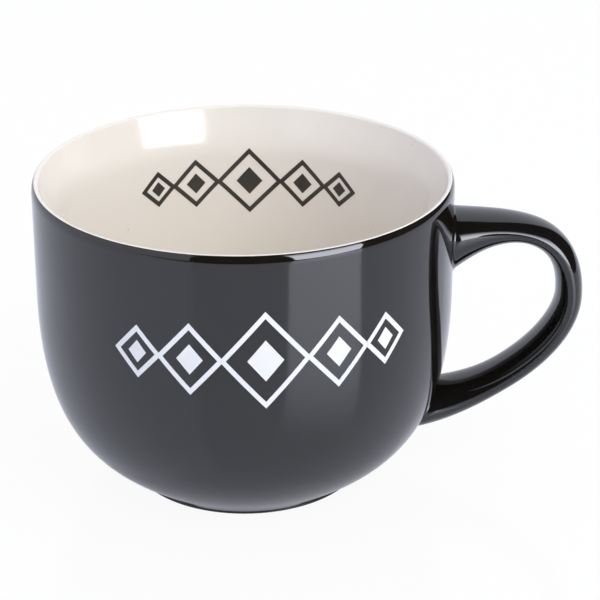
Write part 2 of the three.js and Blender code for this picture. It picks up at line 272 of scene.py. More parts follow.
def bezier_way(curve, at):
    a, b, c, d = curve
    left = 1 - at
    return ((b - a) * left ** 2 + (c - b) * (2 * left * at) + (d - c) * at ** 2).normalized()


def offset_curve(curve, steps, distance):
    """Points of a curve, moved towards its right-hand side."""
    points = []
    for step in range(steps + 1):
        way = bezier_way(curve, step / steps)
        points.append(bezier_point(curve, step / steps) + Vector((way.y, -way.x)) * distance)
    return points


def arc(middle, radius_x, radius_y, start, end, steps):
    """Part of an ellipse between two angles in degrees."""
    points = []
    for step in range(steps + 1):
        turn = math.radians(start + (end - start) * step / steps)
        across = middle[0] + radius_x * math.cos(turn)
        points.append(Vector((across, middle[1] + radius_y * math.sin(turn))))
    return points


def crest_radius(cup):
    return cup.diameter / 2 - cup.lip_taper - cup.lip_round_width


def lip_arc(cup, sunk, start, steps):
    """Over the lip's outer half, from an angle in degrees to the glaze line."""
    return arc(
        (crest_radius(cup), cup.height - cup.lip_round_height),
        cup.lip_round_width - sunk, cup.lip_round_height - sunk,
        start, math.degrees(cup.glaze_line), steps,
    )


def outside_outline(cup, sunk=0.0):
    """Up the outside, from the foot to the glaze line on the lip, sunk below the glaze."""
    foot = cup.foot_diameter / 2 - sunk
    underside = cup.foot_height + sunk * math.cos(cup.bowl_start_angle)
    round_foot = arc(
        (foot + cup.foot_fillet, underside - cup.foot_fillet),
        cup.foot_fillet, cup.foot_fillet, 180, 90, FILLET_STEPS,
    )
    bowl = bezier(
        Vector((cup.foot_diameter / 2 + cup.foot_step, cup.foot_height)),
        heading(cup.bowl_start_angle) * cup.bowl_start_pull,
        Vector((0, -cup.bowl_end_pull)),
        Vector((cup.diameter / 2, cup.belly_height)),
    )
    return [
        Vector((foot, cup.dry_foot)),
        *round_foot,
        *offset_curve(bowl, BOWL_STEPS, -sunk),
        *lip_arc(cup, sunk, 0, LIP_STEPS),
    ]


def lip_inside(cup, wall, sunk):
    """Up the inside where the wall thins, and on to the crest of the lip."""
    middle = Vector((crest_radius(cup), cup.height - cup.lip_crest_round))
    tilt = math.atan2(middle.x - cup.lip_crest_round - wall, cup.lip_thinning - cup.lip_crest_round)
    thinning = bezier(
        Vector((wall, cup.height - cup.lip_thinning)),
        Vector((0, cup.lip_thinning_pull)),
        heading(math.pi / 2 - tilt) * cup.lip_thinning / -3,
        middle + heading(math.pi - tilt) * cup.lip_crest_round,
    )
    rounded = cup.lip_crest_round - sunk
    crest = arc(middle, rounded, rounded, 180 - math.degrees(tilt), 90, LIP_STEPS)
    return [*offset_curve(thinning, THINNING_STEPS, sunk), *crest[1:]]


def inside_outline(cup, sunk=0.0):
    """Up the inside, from the middle of the floor over the crest to the glaze line."""
    floor = cup.hollow_depth + cup.floor
    wall = cup.diameter / 2 - cup.wall
    bowl = bezier(
        Vector((cup.inner_floor_radius, floor)),
        Vector((cup.inner_floor_pull, 0)),
        Vector((0, -cup.inner_wall_pull)),
        Vector((wall, cup.belly_height)),
    )
    return [
        Vector((0, floor - sunk)),
        *offset_curve(bowl, BOWL_STEPS, sunk),
        *lip_inside(cup, wall, sunk),
        *lip_arc(cup, sunk, 90, CREST_STEPS)[1:],
    ]


def hollow_outline(cup, sunk=0.0):
    """Under the floor, from the axis out to the foot ring's inner edge, sunk below the glaze."""
    edge = cup.foot_diameter / 2 - cup.glaze - cup.foot_ring_width
    roof = cup.hollow_depth + sunk
    return [
        Vector((0, roof)),
        Vector((edge - cup.foot_ring_taper - cup.glaze + sunk, roof)),
        Vector((edge - cup.glaze + sunk, cup.dry_foot)),
    ]


def foot_outline(cup):
    """Across the bare foot ring, with rounded edges."""
    outer = cup.foot_diameter / 2 - cup.glaze
    inner = outer - cup.foot_ring_width
    edge = cup.foot_edge
    return [
        *arc((inner + edge, edge), edge, edge, 180, 270, FILLET_STEPS),
        *arc((outer - edge, edge), edge, edge, 270, 360, FILLET_STEPS),
    ]


def radius_at(outline, height):
    for low, high in zip(outline, outline[1:]):
        if low.y <= height <= high.y and low.y < high.y:
            return low.x + (high.x - low.x) * (height - low.y) / (high.y - low.y)
    raise ValueError(f"the outline doesn't reach the height {height}")


# Modelling

def upright(point):
    """A (radius, height) point in the XZ plane through the cup's axis."""
    return AXIS + Vector((point.x, 0, point.y))


def deselect_all():
    bpy.ops.object.select_all(action="DESELECT")


def edit_mode():
    bpy.ops.object.mode_set(mode="EDIT")


def object_mode():
    bpy.ops.object.mode_set(mode="OBJECT")


def select_whole():
    bpy.ops.mesh.select_all(action="SELECT")


def name_piece(name):
    piece = bpy.context.object
    piece.name = name
    piece.data.name = name
    return piece


def select_vertices(piece, indices):
    """Select only these vertices of the piece that is in edit mode."""
    bpy.ops.mesh.select_mode(type="VERT")
    bpy.ops.mesh.select_all(action="DESELECT")
    object_mode()
    for index in indices:
        piece.data.vertices[index].select = True
    edit_mode()


def close_mesh():
    """Merge what meets and turn the faces outwards."""
    select_whole()
    bpy.ops.mesh.remove_doubles(threshold=MERGE_DISTANCE)
    bpy.ops.mesh.normals_make_consistent(inside=False)


def finish_piece(piece, material, slot, *nodes):
    """Smooth a piece, dress it and set it in the frame for the nodes that it stands for."""
    object_mode()
    bpy.ops.object.shade_smooth_by_angle(angle=SMOOTH_ANGLE)
    piece.data.materials.clear()
    piece.data.materials.append(material)
    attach(piece, BODY)
    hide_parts(*nodes)
    deselect_all()


def draw_outline(name, points):
    """Draw a line vertex by vertex, and stay in edit mode."""
    deselect_all()
    bpy.ops.mesh.primitive_plane_add(size=MERGE_DISTANCE, location=(0, 0, 0))
    piece = name_piece(name)
    edit_mode()
    bpy.ops.mesh.select_mode(type="VERT")
    select_whole()
    bpy.ops.mesh.merge(type="CENTER")
    bpy.ops.transform.translate(value=points[0])
    for here, there in zip(points, points[1:]):
        bpy.ops.mesh.extrude_vertices_move(TRANSFORM_OT_translate={"value": there - here})
    return piece


def spin_outline(name, outline, closed=False):
    """Spin an outline round the cup's axis."""
    piece = draw_outline(name, [upright(point) for point in outline])
    if closed:
        select_vertices(piece, (0, len(outline) - 1))
        bpy.ops.mesh.edge_face_add()
    select_whole()
    bpy.ops.mesh.spin(steps=CUP_SIDES, angle=math.tau, center=AXIS, axis=(0, 0, 1))
    close_mesh()
    return piece


def apply_modifier(piece, kind, **settings):
    bpy.ops.object.modifier_add(type=kind)
    modifier = piece.modifiers[-1]
    for name, value in settings.items():
        setattr(modifier, name, value)
    bpy.ops.object.modifier_apply(modifier=modifier.name)


def wrap_onto(piece, target, offset, group=""):
    """Move vertices to the nearest place on a target, raised along its normal."""
    apply_modifier(
        piece, "SHRINKWRAP", target=target, wrap_method="NEAREST_SURFACEPOINT",
        wrap_mode="ABOVE_SURFACE", offset=offset, vertex_group=group,
    )


# Handle

def handle_halves(cup, handle):
    """Middle line of the handle, from the upper root to the bend and on to the lower root."""
    clay = outside_outline(cup, cup.glaze)
    upper_height = cup.height - handle.upper_root_drop
    upper = Vector((radius_at(clay, upper_height), upper_height))
    lower = Vector((radius_at(clay, handle.lower_root_height), handle.lower_root_height))
    bend = Vector((cup.diameter / 2 + handle.reach, upper_height - handle.bend_drop))
    upper_pull = heading(handle.upper_root_angle) * handle.upper_root_pull
    lower_pull = heading(handle.lower_root_angle) * handle.lower_root_pull
    return (
        bezier(upper, upper_pull, Vector((0, handle.upper_bend_pull)), bend),
        bezier(bend, Vector((0, -handle.lower_bend_pull)), lower_pull, lower),
    )


def wall_facing(cup, height):
    """Direction in which the outside faces at a height."""
    outline = outside_outline(cup)
    low, high = height - cup.glaze, height + cup.glaze
    return math.atan2(radius_at(outline, low) - radius_at(outline, high), high - low)


def mix(start, end, amount):
    return start + (end - start) * amount


def flare(along, reach):
    """How much a root spreads: 1 at the wall, easing to 0 where its flare ends."""
    return max(0.0, 1 - along / reach) ** 2


def handle_ring(cup, handle, coat, curve, at, along):
    """Oval of the handle or its coat. Beside a root it turns until it lies flat on the wall."""
    upper = flare(along, handle.upper_flare)
    lower = flare(1 - along, handle.lower_flare)
    strap = mix(handle.upper_strap, handle.lower_strap, along)
    thickness = mix(mix(strap, handle.upper_root, upper), handle.lower_root, lower)
    width = mix(handle.width, handle.root_width, max(upper, lower))
    way = bezier_way(curve, at)
    direction = math.atan2(way.y, way.x)
    if direction > handle.upper_root_angle + ANGLE_SLACK:
        direction -= math.tau
    upper_wall = wall_facing(cup, cup.height - handle.upper_root_drop)
    lower_wall = wall_facing(cup, handle.lower_root_height) - math.pi
    facing = mix(mix(direction, upper_wall, upper), lower_wall, lower)
    return Ring(
        bezier_point(curve, at),
        facing,
        thickness / 2 + coat,
        width / 2 + coat,
        handle.upper_root_lift * upper,
    )


def root_ring(ring, handle, outwards):
    """The ring at a root, moved just clear of the wall."""
    return ring._replace(middle=ring.middle + heading(ring.facing) * handle.root_sink * outwards)


def skirt_ring(ring, handle):
    """The ring round a root where its fillet ends on the wall."""
    return ring._replace(
        half_thickness=ring.half_thickness + handle.skirt, half_width=ring.half_width + handle.skirt,
    )


def handle_rings(cup, handle, coat):
    """Rings from the upper root to the lower one."""
    upper_half, lower_half = handle_halves(cup, handle)
    steps = [step / HANDLE_STEPS for step in range(HANDLE_STEPS + 1)]
    rings = [root_ring(handle_ring(cup, handle, coat, upper_half, 0, 0), handle, 1)]
    for at in steps[ROOT_CLEAR_STEPS:]:
        rings.append(handle_ring(cup, handle, coat, upper_half, at, at / 2))
    for at in steps[1:-ROOT_CLEAR_STEPS]:
        rings.append(handle_ring(cup, handle, coat, lower_half, at, (1 + at) / 2))
    return [*rings, root_ring(handle_ring(cup, handle, coat, lower_half, 1, 1), handle, -1)]


def coat_rings(cup, handle):
    """Rings of the handle's coat, with a thin edge and a buried edge at each root."""
    rings = handle_rings(cup, handle, handle.coat)
    first, last = (skirt_ring(ring, handle) for ring in (rings[0], rings[-1]))
    return [first, first, *rings, last, last]


def lift_ring(piece, number, ring):
    """Make a ring egg-shaped: its top and bottom stay, and its widest line comes up between them."""
    if ring.lift < MERGE_DISTANCE:
        return
    first, half = number * HANDLE_SIDES, HANDLE_SIDES // 2
    edge = heading(ring.facing + math.pi / 2) * ring.half_thickness
    rise = ring.lift / ring.half_thickness
    halves = (
        (range(first, first + half + 1), ring.middle + edge, 1 - rise),
        (range(first + half + 1, first + HANDLE_SIDES), ring.middle - edge, 1 + rise),
    )
    for vertices, fixed, factor in halves:
        select_vertices(piece, vertices)
        bpy.ops.transform.resize(value=(factor, 1, factor), center_override=upright(fixed))


def extrude_rings(name, rings):
    """Extrude a circle from ring to ring, resizing and turning it on the way."""
    first = rings[0]
    deselect_all()
    bpy.ops.mesh.primitive_circle_add(
        vertices=HANDLE_SIDES, radius=first.half_width, location=upright(first.middle),
        rotation=(0, math.pi / 2 - first.facing, 0),
    )
    piece = name_piece(name)
    bpy.ops.object.transform_apply(location=True, rotation=True, scale=True)
    edit_mode()
    select_whole()
    squeeze = first.half_thickness / first.half_width
    bpy.ops.transform.resize(value=(squeeze, 1, squeeze), center_override=upright(first.middle))
    for here, there in zip(rings, rings[1:]):
        middle = upright(there.middle)
        move = middle - upright(here.middle)
        bpy.ops.mesh.extrude_region_move(TRANSFORM_OT_translate={"value": move})
        thicker = there.half_thickness / here.half_thickness
        wider = there.half_width / here.half_width
        bpy.ops.transform.resize(value=(thicker, wider, thicker), center_override=middle)
        turn = there.facing - here.facing
        bpy.ops.transform.rotate(value=turn, orient_axis="Y", center_override=middle)
    for number, ring in enumerate(rings):
        lift_ring(piece, number, ring)
    return piece


def ring_vertices(*numbers):
    return [number * HANDLE_SIDES + side for number in numbers for side in range(HANDLE_SIDES)]


def lay_rings(piece, numbers, offset):
    """Lay rings on the wall's coat, raised by an offset."""
    group = piece.vertex_groups.new(name="rings")
    group.add(ring_vertices(*numbers), 1.0, "REPLACE")
    wrap_onto(piece, bpy.data.objects["outer_coat"], offset, group.name)
    piece.vertex_groups.clear()


def close_ends(piece, ring_count):
    """Fill the first ring and the last one."""
    edit_mode()
    for end in (0, ring_count - 1):
        select_vertices(piece, ring_vertices(end))
        bpy.ops.mesh.edge_face_add()


def seat_roots(piece, ring_count, offsets):
    """Lay the rings at both ends on the wall, each raised by its offset, and close the ends."""
    object_mode()
    for number, offset in enumerate(offsets):
        lay_rings(piece, (number, ring_count - 1 - number), offset)
    close_ends(piece, ring_count)


def press_slip(name, ring, handle):
    """The layer of slip under a root, from the wall's coat up to the clay."""
    piece = extrude_rings(name, [ring, ring])
    object_mode()
    lay_rings(piece, [0], handle.slip_bed)
    lay_rings(piece, [1], handle.slip)
    close_ends(piece, 2)
    close_mesh()
    return piece


def round_corners(piece, ring_count, fillet):
    """Round the corners between the wall and both roots."""
    select_vertices(piece, ring_vertices(2, ring_count - 3))
    bpy.ops.mesh.select_mode(type="EDGE")
    bpy.ops.mesh.bevel(
        offset=fillet, offset_type="OFFSET", segments=FILLET_SEGMENTS, profile=0.5,
        affect="EDGES", clamp_overlap=False,
    )


# Prints

def add_lozenge(arc_place, width, height):
    """Add a flat lozenge to the drawing, in the XZ plane."""
    place = (arc_place, 0, 0)
    bpy.ops.mesh.select_all(action="DESELECT")
    bpy.ops.mesh.primitive_circle_add(
        vertices=4, radius=1, fill_type="NGON", location=place, rotation=(math.pi / 2, 0, 0),
    )
    bpy.ops.transform.resize(value=(width / 2, 1, height / 2), center_override=place)


def draw_link(prints, arc_place, width, height):
    """One link of the chain: an outlined lozenge with a solid one in its middle."""
    add_lozenge(arc_place, width + prints.line, height)
    bpy.ops.mesh.inset(thickness=prints.line, use_even_offset=True)
    bpy.ops.mesh.delete(type="FACE")
    add_lozenge(arc_place, width * prints.core, height * prints.core)


def draw_chain(name, prints, width, height):
    """Lozenges in a row, which shrink away from the middle one and share their side tips."""
    deselect_all()
    bpy.ops.mesh.primitive_plane_add(size=1, location=(0, 0, 0))
    piece = name_piece(name)
    edit_mode()
    select_whole()
    bpy.ops.mesh.delete(type="VERT")
    draw_link(prints, 0, width, height)
    arc_place = 0
    for step in range(1, prints.steps + 1):
        size = prints.ratio ** step
        arc_place += width * (size / prints.ratio + size) / 2
        for side in (-1, 1):
            draw_link(prints, side * arc_place, size * width, size * height)
    select_whole()
    bpy.ops.mesh.subdivide(number_cuts=PRINT_CUTS)
    object_mode()
    return piece


def print_on_wall(piece, prints, wall, radius, height, bearing, inside):
    """Bend a drawing round the cup's axis, press it onto a wall and give it its thickness."""
    way = -1 if inside else 1
    apply_modifier(
        piece, "SIMPLE_DEFORM", deform_method="BEND", deform_axis="Z",
        angle=way * piece.dimensions.x / radius,
    )
    edit_mode()
    select_whole()
    bpy.ops.transform.translate(value=AXIS + Vector((0, -way * radius, height)))
    turn = bearing + way * math.pi / 2
    bpy.ops.transform.rotate(value=-turn, orient_axis="Z", center_override=AXIS)
    object_mode()
    wrap_onto(piece, wall, prints.bed)
    apply_modifier(piece, "SOLIDIFY", thickness=prints.film, offset=1.0)
    edit_mode()


# Node helpers

def set_inputs(tree, node, inputs):
    """Give a node's inputs, by name or number, a value each, or feed them from an output."""
    for socket, value in inputs.items():
        if isinstance(value, bpy.types.NodeSocket):
            tree.links.new(value, node.inputs[socket])
        else:
            node.inputs[socket].default_value = value


def add_node(tree, kind, inputs=None, **settings):
    """Add a node with its settings and inputs."""
    node = tree.nodes.new(kind)
    for name, value in settings.items():
        setattr(node, name, value)
    set_inputs(tree, node, inputs or {})
    return node


def combine(tree, operation, *values):
    """What a Math node makes of two or three numbers or outputs."""
    node = add_node(tree, "ShaderNodeMath", dict(enumerate(values)), operation=operation)
    return node.outputs["Value"]


def axis_of(tree, vector, axis):
    return add_node(tree, "ShaderNodeSeparateXYZ", {"Vector": vector}).outputs[axis]


def spread(tree, value, low, high, from_low=0.0, from_high=1.0, **settings):
    """A value mapped to another range, held at its ends."""
    ends = {"From Min": from_low, "From Max": from_high, "To Min": low, "To Max": high}
    return add_node(tree, "ShaderNodeMapRange", {"Value": value, **ends}, **settings).outputs["Result"]


def blend_colours(tree, mask, low, high):
    """A colour that goes from low to high with a mask."""
    inputs = {"Factor": mask, MIX_LOW: low, MIX_HIGH: high}
    return add_node(tree, "ShaderNodeMix", inputs, data_type="RGBA").outputs[MIX_RESULT]


def new_group(name, inputs, outputs):
    """A shader node group with a vector, float inputs and float outputs, and its two end nodes."""
    tree = bpy.data.node_groups.new(name, "ShaderNodeTree")
    tree.interface.new_socket("Vector", in_out="INPUT", socket_type="NodeSocketVector")
    for label, default in inputs.items():
        socket = tree.interface.new_socket(label, in_out="INPUT", socket_type="NodeSocketFloat")
        socket.default_value = default
    for label in outputs:
        tree.interface.new_socket(label, in_out="OUTPUT", socket_type="NodeSocketFloat")
    return tree, tree.nodes.new("NodeGroupInput"), tree.nodes.new("NodeGroupOutput")


def fired_surface_group():
    """Slow tone and fine waves of anything that has melted in the kiln."""
    inputs = {"Wave Scale": 90.0, "Peel Scale": 700.0, "Peel": 0.15}
    tree, start, end = new_group("Fired Surface", inputs, ["Tone", "Height"])
    noises = {
        "tone": {"Scale": 28.0, "Detail": 4.0, "Roughness": 0.55},
        "wave": {"Scale": start.outputs["Wave Scale"], "Detail": 1.0},
        "peel": {"Scale": start.outputs["Peel Scale"], "Detail": 2.0},
    }
    for name, settings in noises.items():
        node = add_node(tree, "ShaderNodeTexNoise", {"Vector": start.outputs["Vector"], **settings})
        noises[name] = node.outputs["Fac"]
    height = combine(tree, "MULTIPLY_ADD", noises["peel"], start.outputs["Peel"], noises["wave"])
    set_inputs(tree, end, {"Tone": noises["tone"], "Height": height})
    return tree


def specks_group():
    """Scattered round specks: iron in a glaze, sand in clay."""
    tree, start, end = new_group("Kiln Specks", {"Scale": 300.0, "Size": 0.2, "Share": 0.1}, ["Mask"])
    spacing = {name: start.outputs[name] for name in ("Vector", "Scale")}
    cells = add_node(tree, "ShaderNodeTexVoronoi", spacing)
    pick = add_node(tree, "ShaderNodeSeparateColor", {"Color": cells.outputs["Color"]})
    chosen = combine(tree, "LESS_THAN", pick.outputs["Red"], start.outputs["Share"])
    spot = spread(
        tree, cells.outputs["Distance"], 1.0, 0.0, 0.0, start.outputs["Size"],
        interpolation_type="SMOOTHSTEP",
    )
    set_inputs(tree, end, {"Mask": combine(tree, "MULTIPLY", chosen, spot)})
    return tree


def fired_surface(tree, place, wave_scale, peel):
    """Place the fired surface in a material."""
    group = bpy.data.node_groups.get("Fired Surface") or fired_surface_group()
    inputs = {"Vector": place, "Wave Scale": wave_scale, "Peel": peel}
    return add_node(tree, "ShaderNodeGroup", inputs, node_tree=group)


def kiln_specks(tree, place, scale, size, share_of_cells):
    """Place specks in a material, in a share of the cells that it is divided into."""
    group = bpy.data.node_groups.get("Kiln Specks") or specks_group()
    inputs = {"Vector": place, "Scale": scale, "Size": size, "Share": share_of_cells}
    return add_node(tree, "ShaderNodeGroup", inputs, node_tree=group).outputs["Mask"]


def by_tone(tree, fired, low, high, ends=TONE_ENDS):
    """A value that follows the slow tone of a fired surface."""
    return spread(tree, fired.outputs["Tone"], low, high, *ends)


def waves(tree, fired, strength, depth):
    """The normal of a fired surface, bent by its fine waves."""
    inputs = {"Height": fired.outputs["Height"], "Strength": strength, "Distance": depth}
    return add_node(tree, "ShaderNodeBump", inputs).outputs["Normal"]


def new_material(name):
    """A material with its nodes and its shader."""
    material = bpy.data.materials.new(name)
    material.use_nodes = True
    return material, material.node_tree, material.node_tree.nodes["Principled BSDF"]


def new_finish(name, wave_scale, peel):
    """A material with its nodes, its shader, Object coordinates and a fired surface."""
    material, tree, shader = new_material(name)
    place = add_node(tree, "ShaderNodeTexCoord").outputs["Object"]
    return material, tree, shader, place, fired_surface(tree, place, wave_scale, peel)


# Finishes

def black_glaze(colours, cup):
    """Glossy black that breaks to brown where it runs thin at the lip and the foot."""
    material, tree, shader, place, fired = new_finish("glossy_black", wave_scale=55.0, peel=0.05)
    height = axis_of(tree, place, "Z")
    lip = spread(tree, height, 0, 1, cup.height - cup.lip_round_height, cup.height)
    foot = spread(tree, height, 1, 0, cup.dry_foot, cup.foot_height)
    thin = combine(tree, "MAXIMUM", lip, foot)
    broken = combine(tree, "MULTIPLY", thin, by_tone(tree, fired, 0.4, 1.0, ends=(0.35, 0.65)))
    set_inputs(tree, shader, {
        "Base Color": blend_colours(tree, broken, colours.black_glaze, colours.thin_black),
        "Roughness": by_tone(tree, fired, 0.035, 0.075),
        "IOR": 1.64,
        "Specular Tint": (0.96, 0.98, 1.0, 1),
        "Normal": waves(tree, fired, strength=0.04, depth=0.0006),
    })
    return material


def cream_glaze(colours, cup):
    """Glossy warm white that deepens towards the floor, partly as glaze pooling and partly as painted
    shade, with a few iron specks.
    """
    material, tree, shader, place, fired = new_finish("glossy_cream", wave_scale=60.0, peel=0.08)
    specks = kiln_specks(tree, place, scale=260.0, size=0.16, share_of_cells=0.035)
    # Painted shade: the cream grows darker and warmer towards the floor of the cup, partly for the
    # pooled glaze and partly for shade deep inside
    depth = spread(tree, axis_of(tree, place, "Z"), 1, 0.1, 0, cup.height)
    pooled_and_shaded = combine(tree, "MULTIPLY", depth, by_tone(tree, fired, 0.6, 1))
    tone = blend_colours(tree, pooled_and_shaded, colours.cream_glaze, colours.cream_pool_and_shade)
    faint = spread(tree, specks, 0, 0.45)
    set_inputs(tree, shader, {
        "Base Color": blend_colours(tree, faint, tone, colours.cream_speck),
        "Roughness": by_tone(tree, fired, 0.1, 0.17),
        "IOR": 1.5,
        "Normal": waves(tree, fired, strength=0.05, depth=0.0006),
    })
    return material


def bare_clay(name, body, grain):
    """Dry sandy clay."""
    material, tree, shader, place, fired = new_finish(name, wave_scale=900.0, peel=0.5)
    sand = kiln_specks(tree, place, scale=1400.0, size=0.45, share_of_cells=0.35)
    tone = blend_colours(tree, by_tone(tree, fired, 0, 0.5), body, grain)
    set_inputs(tree, shader, {
        "Base Color": blend_colours(tree, sand, tone, grain),
        "Roughness": by_tone(tree, fired, 0.78, 0.92),
        "Normal": waves(tree, fired, strength=0.5, depth=0.0002),
    })
    return material


def fired_enamel(name, full, thin):
    """Satin print that is a little thin in places."""
    material, tree, shader, place, fired = new_finish(name, wave_scale=350.0, peel=0.3)
    pinholes = kiln_specks(tree, place, scale=1500.0, size=0.3, share_of_cells=0.06)
    tone = blend_colours(tree, by_tone(tree, fired, 0, 0.6, ends=(0.45, 0.75)), full, thin)
    set_inputs(tree, shader, {
        "Base Color": blend_colours(tree, pinholes, tone, thin),
        "Roughness": by_tone(tree, fired, 0.24, 0.4),
        "Normal": waves(tree, fired, strength=0.15, depth=0.0001),
    })
    return material


# Operators

class CUP_OT_throw_body(bpy.types.Operator):
    """Spin the clay cup, whose foot ring stays bare"""
    bl_idname = "cup.throw_body"
    bl_label = "Throw Body"

    def execute(self, context):
        cup, colours = context.scene.cup_sizes, context.scene.cup_colours
        inside = inside_outline(cup, cup.glaze)[::-1]
        outline = [
            *hollow_outline(cup, cup.glaze),
            *foot_outline(cup),
            *outside_outline(cup, cup.glaze),
            *inside[1:],
        ]
        piece = spin_outline("thrown_body", outline)
        clay = bare_clay("sandy_bisque", colours.bisque, colours.bisque_grain)
        finish_piece(piece, clay, "bisque_clay", "stoneware_body")
        return {"FINISHED"}


class CUP_OT_glaze_cup(bpy.types.Operator):
    """Spin the black coat outside, the cream coat inside and the black coat under the floor"""
    bl_idname = "cup.glaze_cup"
    bl_label = "Glaze Cup"

    def execute(self, context):
        cup, colours = context.scene.cup_sizes, context.scene.cup_colours
        black = black_glaze(colours, cup)
        cream = cream_glaze(colours, cup)
        outside = [*outside_outline(cup), *outside_outline(cup, cup.glaze)[::-1]]
        inside = [*inside_outline(cup, cup.glaze), *inside_outline(cup)[::-1]]
        hollow = [*hollow_outline(cup), *hollow_outline(cup, cup.glaze)[::-1]]
        coat = spin_outline("outer_coat", outside, closed=True)
        finish_piece(coat, black, "black_glaze", "outer_glaze")
        finish_piece(spin_outline("liner_coat", inside), cream, "cream_glaze", "liner_glaze")
        finish_piece(spin_outline("base_coat", hollow), black, "black_glaze", "base_glaze")
        return {"FINISHED"}


class CUP_OT_glaze_handle(bpy.types.Operator):
    """Extrude the handle's black coat from root to root and melt its ends into the wall's coat"""
    bl_idname = "cup.glaze_handle"
    bl_label = "Glaze Handle"

    def execute(self, context):
        cup, handle = context.scene.cup_sizes, context.scene.cup_handle
        rings = coat_rings(cup, handle)
        piece = extrude_rings("handle_coat", rings)
        seat_roots(piece, len(rings), (-handle.root_sink, -handle.skirt_sink, 0.0))
        round_corners(piece, len(rings), handle.fillet)
        close_mesh()
        finish_piece(piece, bpy.data.materials["glossy_black"], "black_glaze", "handle_glaze")
        return {"FINISHED"}


class CUP_OT_join_handle(bpy.types.Operator):
    """Extrude the clay handle inside its coat and press the slip that joins it to the wall"""
    bl_idname = "cup.join_handle"
    bl_label = "Join Handle"

    def execute(self, context):
        cup, handle = context.scene.cup_sizes, context.scene.cup_handle
        colours = context.scene.cup_colours
        rings = handle_rings(cup, handle, 0)
        piece = extrude_rings("handle_clay", rings)
        seat_roots(piece, len(rings), (handle.slip,))
        close_mesh()
        finish_piece(piece, bpy.data.materials["sandy_bisque"], "bisque_clay", "handle")
        slip = bare_clay("sandy_slip", colours.slip, colours.slip_grain)
        for end, ring in (("upper", rings[0]), ("lower", rings[-1])):
            piece = press_slip(f"{end}_slip", ring, handle)
            finish_piece(piece, slip, "dried_slip", f"{end}_slip_joint")
        return {"FINISHED"}


class CUP_OT_fire_prints(bpy.types.Operator):
    """Draw the prints flat, bend them round the cup and press them onto the glaze"""
    bl_idname = "cup.fire_prints"
    bl_label = "Fire Prints"

    def execute(self, context):
        cup, prints = context.scene.cup_sizes, context.scene.cup_prints
        colours = context.scene.cup_colours
        white = fired_enamel("satin_white", colours.white_enamel, colours.thin_white)
        dark = fired_enamel("satin_dark", colours.dark_enamel, colours.thin_dark)
        outer = draw_chain("outer_enamel", prints, prints.outer_width, prints.outer_height)
        print_on_wall(
            outer, prints, bpy.data.objects["outer_coat"], cup.diameter / 2,
            cup.height - prints.outer_drop, prints.outer_bearing, inside=False,
        )
        finish_piece(outer, white, "white_enamel", "outer_print")
        inner = draw_chain("inner_enamel", prints, prints.inner_width, prints.inner_height)
        print_on_wall(
            inner, prints, bpy.data.objects["liner_coat"], cup.diameter / 2 - cup.wall,
            cup.height - prints.inner_drop, prints.inner_bearing, inside=True,
        )
        finish_piece(inner, dark, "dark_enamel", "inner_print")
        return {"FINISHED"}


def white_stage(name, tint, to_camera, to_gloss, index):
    """Polished pale paint, part of which shows as plain white, and as its tint in gloss and glass."""
    material, tree, paint = new_material(name)
    set_inputs(tree, paint, {"Base Color": tint, "Roughness": STAGE_ROUGHNESS, "IOR": index})
    path = add_node(tree, "ShaderNodeLightPath")
    camera = path.outputs["Is Camera Ray"]
    bent = combine(tree, "MAXIMUM", path.outputs["Is Glossy Ray"], path.outputs["Is Transmission Ray"])
    shown = combine(tree, "MULTIPLY_ADD", camera, to_camera, combine(tree, "MULTIPLY", bent, to_gloss))
    colour_shown = blend_colours(tree, camera, tint, WHITE)
    white = add_node(tree, "ShaderNodeEmission", {"Color": colour_shown, "Strength": 1.0})
    mixed = {"Fac": shown, 1: paint.outputs["BSDF"], 2: white.outputs["Emission"]}
    seen = add_node(tree, "ShaderNodeMixShader", mixed)
    set_inputs(tree, tree.nodes["Material Output"], {"Surface": seen.outputs["Shader"]})
    return material


def direction_from_cup(bearing, height):
    """Unit vector from the cup. Bearing 0 is towards -Y, and grows towards the handle."""
    level = math.cos(height)
    return Vector((math.sin(bearing) * level, -math.cos(bearing) * level, math.sin(height)))


def make_floor(stage):
    """A wide table top with an edge in front of the cup and one to its right."""
    deselect_all()
    bpy.ops.mesh.primitive_plane_add(size=2, location=(0, 0, 0))
    floor = name_piece("floor")
    edit_mode()
    select_whole()
    half_width = (stage.floor_reach + stage.floor_right) / 2
    half_depth = (stage.floor_reach + stage.floor_front) / 2
    bpy.ops.transform.resize(value=(half_width, half_depth, 1), center_override=(0, 0, 0))
    middle = (stage.floor_right - half_width, half_depth - stage.floor_front, 0)
    bpy.ops.transform.translate(value=middle)
    object_mode()
    paint = white_stage(
        "floor_white", stage.stage_tint, stage.floor_white, stage.floor_gloss, stage.floor_index,
    )
    floor.data.materials.append(paint)


def make_backdrop(stage):
    """A tall curved screen behind the cup, which comes round to the front on the left."""
    cove = stage.backdrop_cove
    radius = stage.backdrop_radius
    foot = arc((radius - cove, cove), cove, cove, 270, 360, COVE_STEPS)
    top = Vector((radius, stage.backdrop_height))
    outline = [Vector((0, -point.x, point.y)) for point in (*foot, top)]
    backdrop = draw_outline("backdrop", outline)
    select_whole()
    bpy.ops.transform.rotate(value=-stage.backdrop_start, orient_axis="Z", center_override=(0, 0, 0))
    bpy.ops.mesh.spin(
        steps=BACKDROP_SIDES, angle=stage.backdrop_sweep, center=(0, 0, 0), axis=(0, 0, -1),
    )
    object_mode()
    bpy.ops.object.shade_smooth()
    paint = white_stage(
        "backdrop_white", stage.stage_tint, to_camera=1.0, to_gloss=1.0, index=BACKDROP_INDEX,
    )
    backdrop.data.materials.append(paint)


